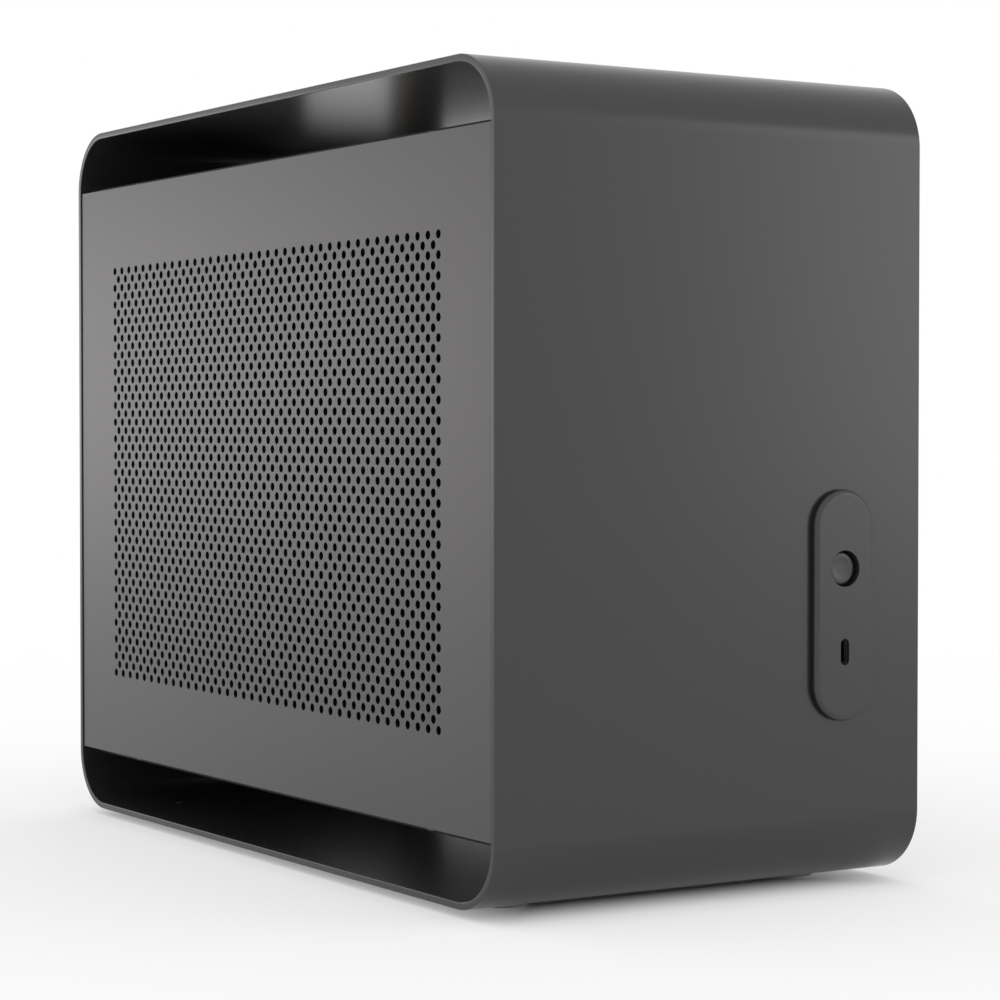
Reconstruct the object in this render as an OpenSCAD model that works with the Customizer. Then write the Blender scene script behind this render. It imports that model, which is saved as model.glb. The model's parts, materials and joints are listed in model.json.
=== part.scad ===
// Computer case for a mini-itx board: one extruded wrap, open at both sides, two perforated side panels
// and the carriers inside. X is the width, Y runs from the front face to the rear, Z is up.

/* [Case] */
// Width of the wrap, from one open side to the other
body_w = 180; // [170:1:240]
// Depth of the wrap, front face to rear face
body_d = 340; // [330:1:420]
// Height of the wrap, without the feet
body_h = 286; // [280:1:360]
// Outer radius of the wrap's four long corners
corner_r = 24; // [14:1:30]
// Wall of the wrap
wall = 2.5; // [2:0.1:3.5]

/* [Feet] */
// Height of a foot
foot_h = 3; // [2.5:0.1:8]
// Diameter of a foot
foot_d = 18; // [12:1:24]
// Distance of a foot's centre from the wrap's open side
foot_inset_x = 28; // [24:1:50]
// Distance of a foot's centre from the front or rear face
foot_inset_y = 40; // [30:1:70]

/* [Side panels] */
// Air gap above and below a side panel, to the wrap's inner face
air_gap = 21.8; // [20:0.1:40]
// Thickness of a side panel
panel_t = 1.5; // [1:0.1:2]
// How far a panel's face lies inside the wrap's rim
panel_recess = 0.5; // [0:0.1:1.5]
// Gap between a panel's end and the wrap's front or rear wall
panel_gap = 0.7; // [0.4:0.1:2]
// Diameter of a hole in the panels
vent_hole_d = 3; // [2:0.1:5]
// Distance between neighbouring holes of one row
vent_pitch = 14; // [14:1:28]
// Distance between rows, each row shifted by half a pitch
vent_row_pitch = 7; // [7:0.5:14]
// Length of the perforated field
vent_field_d = 266; // [140:1:290]
// Height of the perforated field
vent_field_h = 168; // [80:1:190]
// Diameter of the ball on a panel's stud
ball_d = 5; // [4:0.1:6]
// Distance of a panel stud from the middle of the panel
stud_y = 120; // [60:1:140]

/* [Front controls] */
// Width of the control block on the front face
pod_w = 26; // [24:1:34]
// Height of the control block
pod_h = 82; // [78:1:110]
// Distance of the control block's centre from the right side of the wrap
pod_inset = 36.2; // [30:0.1:70]
// Height of the control block's centre above the wrap's underside
pod_z = 98.8; // [60:0.1:180]
// How far the black base stands out of the front face
base_rise = 2; // [1:0.1:3]
// Thickness of the metal cover on the base
cover_t = 1; // [0.8:0.1:2]
// Diameter of the power button
button_d = 12.1; // [9:0.1:14]
// Travel of the power button
button_travel = 1; // [0.6:0.1:1.4]
// Height of the button above the control block's centre
button_dz = 13; // [10:0.1:16]
// Depth of the usb socket's centre below the control block's centre
usb_dz = 16.5; // [14:0.1:20]
// Length of the usb socket's mouth
usb_h = 8.94; // [8.9:0.01:9.1]
// Width of the usb socket's mouth
usb_w = 3.26; // [3.2:0.01:3.4]

/* [Board carrier] */
// Distance of the tray's face from the right side of the wrap
tray_inset = 22; // [20:0.5:30]
// Distance of the board's upper edge from the wrap's ceiling
board_gap = 33.5; // [33:0.5:40]
// Edge length of the board
board_size = 170; // [170:0.1:172]
// Height of a board standoff
standoff_h = 6.5; // [5:0.1:8]
// Thread hole in a standoff
standoff_bore = 2.5; // [2.4:0.1:3]
// Width of the rear opening for the board's sockets
io_w = 44.45; // [44:0.05:45]
// Height of the rear opening for the board's sockets
io_h = 158.75; // [158:0.05:160]
// Distance between two expansion slots
slot_pitch = 20.32; // [20:0.01:21]
// Length of an expansion slot's opening
slot_len = 104; // [95:1:108]

/* [Carriers] */
// Sheet thickness of rails, uprights and brackets
sheet_t = 1.5; // [1.2:0.1:2]
// Height of a rail's upright leg
rail_h = 14; // [14:1:20]
// Width of a rail's flat leg
rail_w = 14; // [12:1:18]
// Distance of a rail from the side of the wrap
rail_inset = 6; // [5:0.5:8]
// How far a rail shows past the side panel's edge
rail_show = 1.8; // [0:0.1:3]
// Distance of the uprights from the front face
upright_y = 104; // [102:1:140]
// Width of an upright's face
upright_w = 14; // [14:1:18]
// Length of a slot in the uprights
slot_l = 20; // [12:1:24]

/* [Mains inlet] */
// Distance of the inlet's centre from the left side of the wrap
inlet_inset = 40; // [38:1:60]
// Distance of the inlet's centre below the board's upper edge
inlet_drop = 123; // [80:1:123]
// Thickness of the inlet's flange
inlet_rise = 3; // [2:0.1:4]

/* [Fasteners] */
// Thread diameter of screws and studs
screw_d = 3; // [2.5:0.1:3.5]
// Clearance round a screw's shank
screw_clear = 0.4; // [0.2:0.1:0.6]

/* [Hidden] */
$fn = 72;

anodised = "#55534f";
black = "#1b1b1c";
steel = "#b9bcc0";
brass = "#c9a654";
green = "#1f4d33";

// Clearance between a moving round piece and its bore, on the radius
run_clear = 0.35;
// Clearance between pieces that are put together by hand
fit_clear = 0.2;
// Overshoot of a cut past the face that it leaves
over = 1;

left_x = -body_w / 2;
right_x = body_w / 2;
front_y = -(base_rise + cover_t + body_d + inlet_rise) / 2 + base_rise + cover_t;
rear_y = front_y + body_d;
mid_y = (front_y + rear_y) / 2;
base_z = foot_h;
mid_z = base_z + body_h / 2;
in_front = front_y + wall;
in_rear = rear_y - wall;
in_d = in_rear - in_front;

panel_d = in_d - 2 * panel_gap;
panel_h = body_h - 2 * wall - 2 * air_gap;
panel_face = body_w / 2 - panel_recess;
panel_back = panel_face - panel_t;

// Carriers: rail_x is the outer face of the rails' upright leg, measured from the middle plane
rail_x = body_w / 2 - rail_inset;
rail_top = panel_h / 2 + rail_show;
rail_seat = rail_top - rail_h;
rail_end = 4;
tab_side = 3;
tab_drop = 2;
tab_w = rail_w - tab_side;
tab_x = rail_x - rail_w + tab_w / 2;
tab_h = rail_h - tab_drop;
tab_stud_z = tab_h / 2 + 1;
grip_in = 5;
bend_r = 1.5;
stud_l = 7;
nut_h = 2.4;
nut_af = 5.5;
head_d = 5.6;
head_h = 1.8;
head_socket_w = 2.3;
head_socket_l = 1.1;

// Panel studs and their catches
catch_wall = 1.2;
catch_rim_w = 1.5;
catch_rim_t = 1.2;
catch_l = 3.5;
catch_d = ball_d + 2 * run_clear + 2 * catch_wall;
catch_rim = catch_d + 2 * catch_rim_w;
catch_z = rail_top - rail_h / 2 + 1;
stud_flange_w = 1;
stud_flange_t = 0.8;
stud_neck = 0.8;

// Front controls, from the cover's face inwards
pod_x = right_x - pod_inset;
pod_cz = base_z + pod_z;
cover_y = front_y - base_rise - cover_t;
pod_lip = 2;
neck_w = pod_w - 2 * pod_lip;
neck_h = pod_h - 2 * pod_lip;
button_bore = button_d + 2 * run_clear;
button_z = pod_cz + button_dz;
usb_z = pod_cz - usb_dz;
usb_slot_w = usb_w + 0.4;
usb_slot_h = usb_h + 0.4;
usb_mouth = front_y - base_rise + 1;
usb_wall = 0.3;
bracket_t = 1.5;
bracket_rim = 4;
bracket_w = neck_w + 2 * bracket_rim;
bracket_h = neck_h + 2 * bracket_rim;
bracket_cut = 0.5;
post_l = 5;
post_d = 5;
post_bore = 2;
post_top = 14;
post_bottom = 12;
post_dz = [pod_h / 2 - post_top, post_bottom - pod_h / 2];
clamp_inset = 4;
clamp_dz = neck_h / 2 - clamp_inset;
clamp_l = 3;
control_board_y = in_front + bracket_t + post_l;
control_board_t = 1.2;
control_board_w = 18;
control_board_h = pod_h - control_board_w;
control_board_r = 2;
control_head_d = 4;
control_head_h = 1.2;
control_screw_l = control_board_t + 3;
flange_w = 0.9;
flange_d = button_bore + 2 * flange_w;
button_edge = 0.7;
stop_gap = 0.15;
switch_h = 3.5;
switch_w = 6;
switch_r = 0.6;
switch_y = control_board_y - switch_h;
plunger_d = 3.3;
plunger_y = in_front + bracket_t;
plunger_l = 2.5;
plunger_rest = 0.4;
stem = 3;
tongue_back = 0.8;
tongue_t = 0.7;
tongue_h = 6.6;
header_l = 6;
header_w = 12;
header_h = 8;
header_in_w = 9;
header_in_h = 4.4;
header_dz = 8;
header_key = 1;

// Board carrier
tray_t = 1.2;
tray_x = right_x - tray_inset;
board_t = 1.6;
board_front = tray_x - standoff_h - board_t;
board_rear_gap = 2.5;
board_rear = in_rear - board_rear_gap;
board_top = base_z + body_h - wall - board_gap;
board_low = board_top - board_size;
tray_front = board_rear - board_size;
tray_lip = 4;
tray_cable_w = 110;
tray_cable_h = 20;
tray_cable_r = 9;
tray_cable_z = 22;
tray_cut_w = 80;
tray_cut_h = 84;
tray_cut_r = 8;
tray_cut_y = 20;
tray_cut_z = 14;
tray_screw_inset = 20;
standoff_af = 6;
// Mounting holes of the board, measured from its edges; the rear pair from the rear edge
hole_top = 6.35;
hole_bottom = 6.17;
hole_front = 4.9;
hole_rear_top = 10.16;
hole_rear_bottom = 33.02;
board_holes = [[hole_rear_top, hole_top], [hole_rear_bottom, board_size - hole_bottom],
               [board_size - hole_front, hole_top], [board_size - hole_front, board_size - hole_bottom]];
io_side = 3.8;
io_over = 1.25;
io_x = board_front + io_side - io_w / 2;
io_z = board_top + io_over - io_h / 2;
slot_w = 10.5;
slot_rise = 2.2;
slot_z = [board_low + slot_rise, board_low + slot_rise - slot_pitch];
slot_side = 3;
slot_x1 = board_front + slot_side;
slot_x0 = slot_x1 - slot_len;
cover_strip_w = 18.4;
cover_strip_t = 1;
tab_out = 12;
ledge_gap = 4;
ledge_x = slot_x0 - ledge_gap;
ledge_t = 1.5;
ledge_foot_w = 14;
ledge_foot_h = 9;
slot_screw_l = 4.5;

// Carriers at the front
face_y = front_y + upright_y;
upright_h = 2 * rail_seat;
slot_count = 8;
slot_step = upright_h / slot_count;
upright_gap = 1;
plate_t = 1.5;
plate_side = 0.5;
plate_w = 2 * (rail_x - upright_gap - 2 * sheet_t - bend_r - plate_side);
plate_r = 3;
plate_edge = 6;
grip_x = rail_x - rail_w + grip_in;
grip_dz = slot_step;
grip_back = 7;
grip_screw_l = 5.4;
supply_cz = mid_z + 2.5 * slot_step;
supply_edge = 7;
supply_hole_x = 113;
supply_hole_z = 51.5;
supply_hole_d = 3.6;
supply_h = max(2 * slot_step + 2 * plate_edge, supply_hole_z + 2 * supply_edge);
supply_cut_side = 7;
supply_cut_r = 4;
drive_cz = mid_z - 0.5 * slot_step;
drive_edge = 5;
drive_hole_x = 76.6;
drive_hole_z = 61.72;
drive_hole_d = 3.4;
drive_h = max(2 * slot_step + 2 * plate_edge, drive_hole_z + 2 * drive_edge);
drive_slot_w = 12;
drive_slot_h = 44;
drive_slot_step = 22;

// Rear vent beside the board's opening
rear_vent_side = 24;
rear_vent_gap = 15.25;
rear_vent_h = 64;
rear_vent_over = 4;
rear_vent_pitch = 10;
rear_vent_row = 5;
rear_vent_x0 = left_x + rear_vent_side;
rear_vent_x1 = io_x - io_w / 2 - rear_vent_gap;
rear_vent_z0 = board_top + rear_vent_over - rear_vent_h;

// Mains inlet
inlet_x = left_x + inlet_inset;
inlet_cz = board_top - inlet_drop;
inlet_flange_w = 50;
inlet_flange_h = 22;
inlet_body_w = 27.4;
inlet_body_h = 19.8;
inlet_body_l = 21;
inlet_cavity_w = 24;
inlet_cavity_h = 16.4;
inlet_cavity_l = 17;
inlet_screw_x = 20;
blade_w = 2;
blade_h = 4;
blade_tip = 5.5;
blade_back = 8;
blade_dx = 7;
blade_dz = 2;
blade_places = [[-blade_dx, -blade_dz], [0, blade_dz], [blade_dx, -blade_dz]];
inlet_flange_r = 4;
inlet_corner = 6;
foot_edge = 0.8;
foot_head_gap = 0.2;

// Outlines

module round_rect(w, h, r) {
  square([w, h - 2 * r], center = true);
  square([w - 2 * r, h], center = true);
  for (sx = [-1, 1])
    for (sy = [-1, 1])
      translate([sx * (w / 2 - r), sy * (h / 2 - r)]) circle(r = r);
}

module stadium(w, h) {
  square([w, h - w], center = true);
  for (s = [-1, 1])
    translate([0, s * (h - w) / 2]) circle(d = w);
}

// Angle profile with its outer corner at the origin, one leg up and one to the right
module angle_profile(up, along, t) {
  bend = bend_r + t;
  translate([0, bend]) square([t, up - bend]);
  translate([bend, 0]) square([along - bend, t]);
  intersection() {
    square([bend, bend]);
    translate([bend, bend])
      difference() {
        circle(r = bend);
        circle(r = bend_r);
      }
  }
}

// An outline in Y and Z, drawn out along X
module along_x(x0, len) {
  translate([x0, 0, 0]) rotate([90, 0, 90]) linear_extrude(len) children();
}

// An outline in X and Z, drawn out along Y
module along_y(y0, len) {
  translate([0, y0 + len, 0]) rotate([90, 0, 0]) linear_extrude(len) children();
}

// A child drawn once as it is and once mirrored to the other side of the case
module both_sides() {
  children();
  mirror([1, 0, 0]) children();
}

// Mirrors the upper half of the case onto the lower half
module flip_down() {
  translate([0, 0, 2 * mid_z]) mirror([0, 0, 1]) children();
}

// Fasteners, with their head above the XY plane and their shank below it

module socket_screw(l) {
  difference() {
    union() {
      cylinder(d = head_d, h = head_h);
      translate([0, 0, -l]) cylinder(d = screw_d, h = l);
    }
    translate([0, 0, head_h - head_socket_l]) cylinder(d = head_socket_w, h = over + head_socket_l, $fn = 6);
  }
}

module hex_nut() {
  difference() {
    cylinder(d = nut_af / cos(30), h = nut_h, $fn = 6);
    translate([0, 0, -over]) cylinder(d = screw_d, h = nut_h + 2 * over);
  }
}

// Wrap: one closed extrusion with its cut-outs

module wrap_section() {
  translate([mid_y, mid_z])
    difference() {
      round_rect(body_d, body_h, corner_r);
      round_rect(body_d - 2 * wall, body_h - 2 * wall, corner_r - wall);
    }
}

module rear_vent() {
  rows = floor(rear_vent_h / rear_vent_row);
  cols = floor((rear_vent_x1 - rear_vent_x0) / rear_vent_pitch);
  for (j = [0 : rows])
    for (i = [0 : cols - j % 2])
      translate([rear_vent_x0 + (i + (j % 2) / 2) * rear_vent_pitch, rear_vent_z0 + j * rear_vent_row])
        circle(d = vent_hole_d);
}

module rear_cuts() {
  translate([io_x, io_z]) square([io_w, io_h], center = true);
  for (z = slot_z)
    translate([slot_x0, z - slot_w / 2]) square([slot_len, slot_w]);
  translate([inlet_x, inlet_cz]) {
    square([inlet_body_w + fit_clear, inlet_body_h + fit_clear], center = true);
    for (s = [-1, 1])
      translate([s * inlet_screw_x, 0]) circle(d = screw_d);
  }
  rear_vent();
}

module wrap() {
  color(anodised)
    difference() {
      along_x(left_x, body_w) wrap_section();
      along_y(front_y - over, wall + 2 * over)
        translate([pod_x, pod_cz]) stadium(neck_w + fit_clear, neck_h + fit_clear);
      along_y(in_rear - over, wall + 2 * over) rear_cuts();
      foot_places() translate([0, 0, base_z - over]) cylinder(d = screw_d, h = wall + 2 * over);
    }
}

// Feet

module foot_places() {
  for (sx = [-1, 1])
    for (sy = [-1, 1])
      translate([sx * (body_w / 2 - foot_inset_x), mid_y + sy * (body_d / 2 - foot_inset_y), 0]) children();
}

module foot(sx, sy) {
  color(black)
    translate([sx * (body_w / 2 - foot_inset_x), mid_y + sy * (body_d / 2 - foot_inset_y), 0])
      difference() {
        rotate_extrude()
          difference() {
            square([foot_d / 2, foot_h]);
            translate([foot_d / 2, 0]) rotate(45) square(foot_edge, center = true);
          }
        translate([0, 0, -over]) cylinder(d = screw_d, h = foot_h + 2 * over);
        translate([0, 0, -over]) cylinder(d = head_d + screw_clear, h = over + head_h + foot_head_gap);
      }
}

module foot_screws() {
  color(steel)
    foot_places()
      translate([0, 0, head_h + foot_head_gap])
        mirror([0, 0, 1]) socket_screw(foot_h + wall - head_h - foot_head_gap);
}

// Side panels, drawn for the right side and mirrored for the left one

module vent_field() {
  cols = floor(vent_field_d / vent_pitch);
  rows = floor(vent_field_h / vent_row_pitch);
  for (j = [0 : rows])
    for (i = [0 : cols - j % 2])
      translate([(i - (cols - j % 2) / 2) * vent_pitch, (j - rows / 2) * vent_row_pitch])
        circle(d = vent_hole_d);
}

module side_panel() {
  color(anodised)
    along_x(panel_back, panel_t)
      translate([mid_y, mid_z])
        difference() {
          square([panel_d, panel_h], center = true);
          vent_field();
        }
}

module stud_places() {
  for (sy = [-1, 1])
    for (sz = [-1, 1])
      translate([0, mid_y + sy * stud_y, mid_z + sz * catch_z]) children();
}

// Ball stud pressed onto the panel's back, its ball standing in the catch
module panel_studs() {
  reach = panel_back - rail_x + sheet_t;
  color(steel)
    stud_places()
      translate([panel_back, 0, 0])
        rotate([0, -90, 0]) {
          cylinder(d = ball_d + 2 * stud_flange_w, h = stud_flange_t);
          cylinder(d = ball_d - 2 * stud_neck, h = reach);
          translate([0, 0, reach]) sphere(d = ball_d);
        }
}

// Spring catch clipped through a rail's upright leg
module catches() {
  color(black)
    stud_places()
      translate([rail_x, 0, 0])
        rotate([0, -90, 0])
          difference() {
            union() {
              translate([0, 0, -catch_rim_t]) cylinder(d = catch_rim, h = catch_rim_t);
              cylinder(d = catch_d, h = sheet_t + catch_l);
            }
            translate([0, 0, -catch_rim_t - over])
              cylinder(d = ball_d + 2 * run_clear, h = catch_rim_t + sheet_t + catch_l + 2 * over);
          }
}

// Rails: the upper right one is drawn, the others are its mirror images

module rail() {
  difference() {
    union() {
      along_y(in_front + rail_end, in_d - 2 * rail_end)
        translate([rail_x, mid_z + rail_seat]) mirror([1, 0]) angle_profile(rail_h, rail_w, sheet_t);
      for (y = [in_front, in_rear - rail_end])
        translate([tab_x - tab_w / 2, y, mid_z + rail_seat]) cube([tab_w, rail_end, sheet_t]);
      for (y = [in_front, in_rear - sheet_t])
        translate([tab_x - tab_w / 2, y, mid_z + rail_seat]) cube([tab_w, sheet_t, tab_h]);
    }
    along_y(in_front - over, in_d + 2 * over)
      translate([tab_x, mid_z + rail_seat + tab_stud_z]) circle(d = screw_d + screw_clear);
    for (sy = [-1, 1])
      translate([rail_x - 2 * sheet_t, mid_y + sy * stud_y, mid_z + catch_z])
        rotate([0, 90, 0]) cylinder(d = catch_d, h = 3 * sheet_t);
    for (y = seat_ys())
      translate([grip_x, y, mid_z + rail_seat - over])
        cylinder(d = screw_d + screw_clear, h = sheet_t + 2 * over);
  }
}

// Places along a rail where an upright or the tray is screwed to it
function seat_ys() = [face_y + sheet_t + grip_back,
                      tray_front + tray_screw_inset,
                      board_rear - tray_screw_inset];

module weld_studs() {
  color(steel)
    both_sides() {
      end_studs();
      flip_down() end_studs();
    }
}

module end_studs() {
  z = mid_z + rail_seat + tab_stud_z;
  for (end = [[in_front, -90], [in_rear, 90]])
    translate([tab_x, end[0], z]) rotate([end[1], 0, 0]) cylinder(d = screw_d, h = stud_l);
}

// Nuts on the rails' end studs and behind the plates' screws
module nuts() {
  color(steel) {
    both_sides() {
      end_nuts();
      flip_down() end_nuts();
    }
    for (p = plate_grips())
      translate([p[0], face_y, p[1]]) rotate([90, 0, 0]) hex_nut();
  }
}

module end_nuts() {
  z = mid_z + rail_seat + tab_stud_z;
  for (end = [[in_front + sheet_t, -90], [in_rear - sheet_t, 90]])
    translate([tab_x, end[0], z]) rotate([end[1], 0, 0]) hex_nut();
}

// Uprights and the plates that are screwed to their slotted faces

module upright() {
  z0 = mid_z - upright_h / 2;
  difference() {
    union() {
      translate([rail_x - sheet_t - upright_gap, face_y, z0])
        linear_extrude(upright_h)
          mirror([1, 0]) angle_profile(upright_w, upright_w, sheet_t);
      for (z = [z0, z0 + upright_h - sheet_t])
        translate([rail_x - sheet_t - upright_gap - upright_w, face_y, z])
          cube([upright_w, upright_w, sheet_t]);
    }
    along_y(face_y - over, sheet_t + 2 * over)
      for (i = [0 : slot_count - 1])
        translate([grip_x, z0 + (i + 0.5) * slot_step]) stadium(screw_d + screw_clear, slot_l);
    translate([grip_x, seat_ys()[0], z0 - over]) cylinder(d = screw_d, h = upright_h + 2 * over);
  }
}

function plate_grips() = [for (sx = [-1, 1]) for (z = [supply_cz, drive_cz])
                            for (sz = [-1, 1]) [sx * grip_x, z + sz * grip_dz]];

module carrier_plate(cz, h) {
  along_y(face_y + sheet_t, plate_t)
    difference() {
      translate([0, cz]) round_rect(plate_w, h, plate_r);
      for (p = plate_grips())
        translate(p) circle(d = screw_d + screw_clear);
      children();
    }
}

module supply_bracket() {
  color(black)
    carrier_plate(supply_cz, supply_h)
      translate([0, supply_cz]) {
        round_rect(supply_hole_x - 2 * supply_cut_side, supply_hole_z, supply_cut_r);
        for (sx = [-1, 1])
          for (sz = [-1, 1])
            translate([sx * supply_hole_x / 2, sz * supply_hole_z / 2]) circle(d = supply_hole_d);
      }
}

module drive_plate() {
  color(black)
    carrier_plate(drive_cz, drive_h)
      translate([0, drive_cz]) {
        for (sx = [-1, 1])
          for (sz = [-1, 1])
            translate([sx * drive_hole_x / 2, sz * drive_hole_z / 2]) circle(d = drive_hole_d);
        for (i = [-1, 0, 1])
          translate([i * drive_slot_step, 0]) stadium(drive_slot_w, drive_slot_h);
      }
}

// Tray for the board, folded out at its top and bottom onto the right rails

module board_tray() {
  z0 = mid_z - upright_h / 2;
  color(black)
    difference() {
      union() {
        along_x(tray_x, tray_t)
          translate([tray_front - tray_lip, z0])
            difference() {
              square([board_size, upright_h]);
              translate([board_size / 2 + tray_cut_y, board_low - z0 + board_size / 2 + tray_cut_z])
                round_rect(tray_cut_w, tray_cut_h, tray_cut_r);
              translate([board_size / 2, tray_cable_z]) round_rect(tray_cable_w, tray_cable_h, tray_cable_r);
            }
        for (z = [z0, z0 + upright_h - tray_t])
          translate([tray_x, tray_front, z])
            cube([rail_x - 2 * sheet_t - tray_x, board_size - 2 * tray_lip, tray_t]);
      }
      for (h = board_holes)
        translate([tray_x - over, board_rear - h[0], board_low + board_size - h[1]])
          rotate([0, 90, 0]) cylinder(d = screw_d, h = tray_t + 2 * over);
      for (i = [1, 2])
        translate([grip_x, seat_ys()[i], z0 - over]) cylinder(d = screw_d, h = upright_h + 2 * over);
    }
}

module board_standoffs() {
  color(brass)
    for (h = board_holes)
      translate([tray_x - standoff_h, board_rear - h[0], board_low + board_size - h[1]])
        rotate([0, 90, 0])
          difference() {
            union() {
              cylinder(d = standoff_af / cos(30), h = standoff_h, $fn = 6);
              cylinder(d = screw_d, h = standoff_h + tray_t);
            }
            translate([0, 0, -over]) cylinder(d = standoff_bore, h = standoff_h + over);
          }
}

// Screws between the rails and what they carry, and between the plates and the uprights
module carrier_screws() {
  color(steel) {
    for (place = [[-grip_x, 0], [grip_x, 0], [grip_x, 1], [grip_x, 2]])
      for (up = [0, 1])
        translate([place[0], seat_ys()[place[1]], mid_z])
          mirror([0, 0, up]) translate([0, 0, rail_seat + sheet_t]) socket_screw(2 * sheet_t);
    for (p = plate_grips())
      translate([p[0], face_y + sheet_t + plate_t, p[1]]) rotate([-90, 0, 0]) socket_screw(grip_screw_l);
  }
}

// Expansion slots

module slot_bracket() {
  z0 = slot_z[1] - cover_strip_w / 2;
  z1 = slot_z[0] + cover_strip_w / 2;
  color(black)
    difference() {
      union() {
        translate([ledge_x, in_rear - tab_out - cover_strip_t, z0])
          cube([ledge_t, tab_out - fit_clear, z1 - z0 + fit_clear]);
        translate([ledge_x, in_rear - tab_out - cover_strip_t, z1 + fit_clear])
          cube([ledge_t, tab_out + cover_strip_t, ledge_foot_h]);
        translate([ledge_x, in_rear - ledge_t, z1 + fit_clear]) cube([ledge_foot_w, ledge_t, ledge_foot_h]);
      }
      for (z = slot_z)
        translate([ledge_x - over, in_rear - tab_out / 2 - cover_strip_t, z])
          rotate([0, 90, 0]) cylinder(d = screw_d, h = ledge_t + 2 * over);
    }
}

// Strip over a slot, held by its folded end
module slot_cover(z) {
  color(anodised)
    translate([0, 0, z])
      difference() {
        union() {
          translate([ledge_x - cover_strip_t, in_rear - cover_strip_t, -cover_strip_w / 2])
            cube([slot_x1 + slot_side - ledge_x + cover_strip_t, cover_strip_t, cover_strip_w]);
          translate([ledge_x - cover_strip_t, in_rear - tab_out, -cover_strip_w / 2])
            cube([cover_strip_t, tab_out, cover_strip_w]);
        }
        translate([ledge_x - cover_strip_t - over, in_rear - tab_out / 2 - cover_strip_t, 0])
          rotate([0, 90, 0]) cylinder(d = screw_d + screw_clear, h = cover_strip_t + 2 * over);
      }
}

module slot_screws() {
  color(steel)
    for (z = slot_z)
      translate([ledge_x - cover_strip_t, in_rear - tab_out / 2 - cover_strip_t, z])
        rotate([0, -90, 0]) socket_screw(slot_screw_l);
}

// Front controls

module usb_outline(w, h) {
  translate([pod_x, usb_z]) stadium(w, h);
}

module control_base() {
  color(black)
    difference() {
      union() {
        along_y(front_y - base_rise, base_rise) translate([pod_x, pod_cz]) stadium(pod_w, pod_h);
        along_y(front_y, wall) translate([pod_x, pod_cz]) stadium(neck_w, neck_h);
      }
      along_y(front_y - base_rise - over, base_rise + wall + 2 * over) {
        translate([pod_x, button_z]) circle(d = button_bore);
        usb_outline(usb_slot_w, usb_slot_h);
      }
      for (s = [-1, 1])
        translate([pod_x, in_front + over, pod_cz + s * clamp_dz])
          rotate([90, 0, 0]) cylinder(d = screw_d, h = wall + over);
    }
}

module control_cover() {
  color(anodised)
    along_y(cover_y, cover_t)
      difference() {
        translate([pod_x, pod_cz]) stadium(pod_w, pod_h);
        translate([pod_x, button_z]) circle(d = button_bore);
        usb_outline(usb_slot_w, usb_slot_h);
      }
}

// Plate that clamps the base to the wall and carries the circuit board on two posts
module control_bracket() {
  color(black)
    difference() {
      union() {
        along_y(in_front, bracket_t) translate([pod_x, pod_cz]) stadium(bracket_w, bracket_h);
        for (dz = post_dz)
          translate([pod_x, in_front, pod_cz + dz])
            rotate([-90, 0, 0]) cylinder(d = post_d, h = bracket_t + post_l);
      }
      along_y(in_front - over, bracket_t + 2 * over) {
        translate([pod_x, button_z]) circle(d = flange_d + 2 * run_clear);
        usb_outline(usb_slot_w + 2 * bracket_cut, usb_slot_h + 2 * bracket_cut);
        for (s = [-1, 1])
          translate([pod_x, pod_cz + s * clamp_dz]) circle(d = screw_d + screw_clear);
      }
      for (dz = post_dz)
        translate([pod_x, in_front + bracket_t, pod_cz + dz])
          rotate([-90, 0, 0]) cylinder(d = post_bore, h = post_l + over);
    }
}

module control_board() {
  color(green)
    along_y(control_board_y, control_board_t)
      difference() {
        translate([pod_x, pod_cz]) round_rect(control_board_w, control_board_h, control_board_r);
        for (dz = post_dz)
          translate([pod_x, pod_cz + dz]) circle(d = post_bore + fit_clear);
      }
}

module control_screws() {
  color(steel) {
    for (s = [-1, 1])
      translate([pod_x, in_front + bracket_t, pod_cz + s * clamp_dz])
        rotate([-90, 0, 0]) socket_screw(clamp_l);
    for (dz = post_dz)
      translate([pod_x, control_board_y + control_board_t, pod_cz + dz])
        rotate([-90, 0, 0]) {
          cylinder(d = control_head_d, h = control_head_h);
          translate([0, 0, -control_screw_l]) cylinder(d = post_bore, h = control_screw_l);
        }
  }
}

module power_button() {
  color(anodised)
    translate([pod_x, front_y, button_z])
      rotate([-90, 0, 0]) {
        rotate_extrude()
          difference() {
            square([button_d / 2, wall + stop_gap]);
            translate([button_d / 2, 0]) rotate(45) square(button_edge, center = true);
          }
        translate([0, 0, wall + stop_gap]) cylinder(d = flange_d, h = bracket_t - stop_gap);
      }
}

module switch_block() {
  color(black)
    along_y(switch_y, switch_h)
      translate([pod_x, button_z]) round_rect(switch_w, switch_w, switch_r);
}

module switch_body() {
  difference() {
    switch_block();
    translate([pod_x, switch_y - over, button_z])
      rotate([-90, 0, 0])
        cylinder(d = plunger_d + 2 * run_clear,
                 h = over + plunger_l + plunger_y - switch_y + button_travel + plunger_rest);
  }
}

module switch_plunger() {
  color(steel)
    translate([pod_x, plunger_y, button_z]) rotate([-90, 0, 0]) cylinder(d = plunger_d, h = plunger_l);
}

module usb_socket() {
  color(steel)
    along_y(usb_mouth, control_board_y - usb_mouth)
      difference() {
        usb_outline(usb_w, usb_h);
        usb_outline(usb_w - 2 * usb_wall, usb_h - 2 * usb_wall);
      }
}

module usb_tongue() {
  color(black) {
    along_y(control_board_y - stem, stem) usb_outline(usb_w - 2 * usb_wall, usb_h - 2 * usb_wall);
    along_y(usb_mouth + tongue_back, control_board_y - stem - usb_mouth - tongue_back)
      translate([pod_x, usb_z]) square([tongue_t, tongue_h], center = true);
  }
}

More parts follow.
